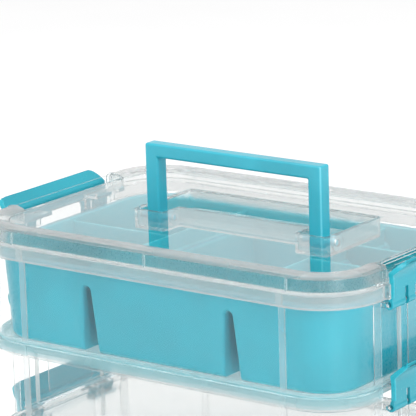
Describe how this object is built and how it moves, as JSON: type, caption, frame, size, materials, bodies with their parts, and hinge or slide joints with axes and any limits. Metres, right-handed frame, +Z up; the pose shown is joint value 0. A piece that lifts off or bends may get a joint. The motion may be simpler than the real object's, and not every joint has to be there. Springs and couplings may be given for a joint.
{
  "type": "stacking sewing box with tray",
  "caption": "Clear stacking sewing box with snap-latched tiers, a divided lift-out turquoise tray and a lid with a fold-down carry handle.",
  "frame": {"origin": "centre of the box's footprint, on the surface it stands on", "axes": "+X along the box's length, towards one pair-end's latches; +Y towards the side the handle folds to; +Z up"},
  "size_m": [0.2578, 0.1614, 0.2038],
  "materials": {
    "clear_tier": "clear moulded polypropylene, lightly frosted",
    "clear_lid": "clear moulded polypropylene, glossy top and lightly frosted skirt",
    "tray_plastic": "semi-gloss moulded polypropylene",
    "handle_plastic": "semi-gloss moulded polypropylene",
    "latch_plastic": "semi-gloss moulded polypropylene"
  },
  "bodies": {
    "lower_tier": {"lower_tier": "clear_tier"},
    "middle_tier": {"middle_tier": "clear_tier"},
    "upper_tier": {"upper_tier": "clear_tier"},
    "tray": {"tray": "tray_plastic"},
    "lid": {"lid": "clear_lid"},
    "carry_handle": {"carry_handle": "handle_plastic"},
    "lower_latch_left": {"lower_latch_left": "latch_plastic"},
    "lower_latch_right": {"lower_latch_right": "latch_plastic"},
    "middle_latch_left": {"middle_latch_left": "latch_plastic"},
    "middle_latch_right": {"middle_latch_right": "latch_plastic"},
    "upper_latch_left": {"upper_latch_left": "latch_plastic"},
    "upper_latch_right": {"upper_latch_right": "latch_plastic"}
  },
  "joints": [
    {"name": "middle_tier_lift", "type": "slide", "parent": "lower_tier", "child": "middle_tier", "axis": [0, 0, 1], "range_m": [0, 0.08]},
    {"name": "upper_tier_lift", "type": "slide", "parent": "middle_tier", "child": "upper_tier", "axis": [0, 0, 1], "range_m": [0, 0.08]},
    {"name": "tray_lift", "type": "slide", "parent": "upper_tier", "child": "tray", "axis": [0, 0, 1], "range_m": [0, 0.07]},
    {"name": "lid_lift", "type": "slide", "parent": "tray", "child": "lid", "axis": [0, 0, 1], "range_m": [0, 0.1]},
    {"name": "handle_pivot", "type": "hinge", "parent": "lid", "child": "carry_handle", "pos_m": [0, 0, 0.1632], "axis": [-1, 0, 0], "range_deg": [0, 90]},
    {"name": "lower_latch_left_hinge", "type": "hinge", "parent": "lower_tier", "child": "lower_latch_left", "pos_m": [-0.1199, 0, 0.046], "axis": [0, -1, 0], "range_deg": [0, 150]},
    {"name": "lower_latch_right_hinge", "type": "hinge", "parent": "lower_tier", "child": "lower_latch_right", "pos_m": [0.1199, 0, 0.046], "axis": [0, 1, 0], "range_deg": [0, 150]},
    {"name": "middle_latch_left_hinge", "type": "hinge", "parent": "middle_tier", "child": "middle_latch_left", "pos_m": [-0.1199, 0, 0.098], "axis": [0, -1, 0], "range_deg": [0, 150]},
    {"name": "middle_latch_right_hinge", "type": "hinge", "parent": "middle_tier", "child": "middle_latch_right", "pos_m": [0.1199, 0, 0.098], "axis": [0, 1, 0], "range_deg": [0, 150]},
    {"name": "upper_latch_left_hinge", "type": "hinge", "parent": "upper_tier", "child": "upper_latch_left", "pos_m": [-0.1199, 0, 0.15], "axis": [0, -1, 0], "range_deg": [0, 150]},
    {"name": "upper_latch_right_hinge", "type": "hinge", "parent": "upper_tier", "child": "upper_latch_right", "pos_m": [0.1199, 0, 0.15], "axis": [0, 1, 0], "range_deg": [0, 150]}
  ]
}
